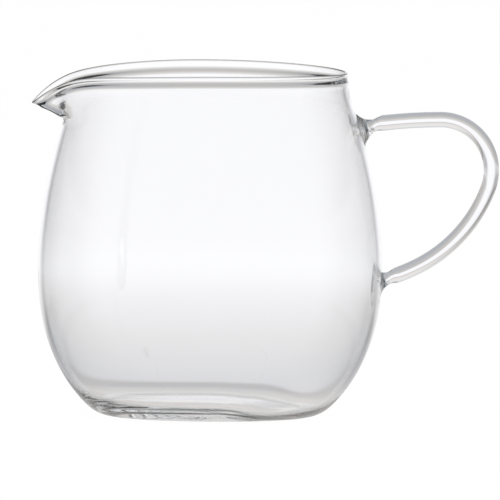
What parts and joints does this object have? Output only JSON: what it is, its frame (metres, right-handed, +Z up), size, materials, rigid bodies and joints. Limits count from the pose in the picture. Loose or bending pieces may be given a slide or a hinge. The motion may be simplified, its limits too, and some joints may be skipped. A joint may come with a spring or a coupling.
{
  "type": "glass tea pitcher",
  "caption": "Clear blown glass tea pitcher with a pulled pouring spout, a rounded fire-polished rim and a bent glass rod handle fused to its side.",
  "frame": {"origin": "middle of the foot ring, on the table plane", "axes": "+Z up, +X towards the handle, -X towards the spout"},
  "size_m": [0.1423, 0.1041, 0.1055],
  "materials": {
    "vessel_glass": "clear, smooth, fire polished",
    "handle_glass": "clear, smooth, drawn rod"
  },
  "bodies": {
    "root": {"vessel": "vessel_glass", "handle_rod": "handle_glass", "upper_handle_gather": "handle_glass", "lower_handle_gather": "handle_glass"}
  },
  "joints": []
}
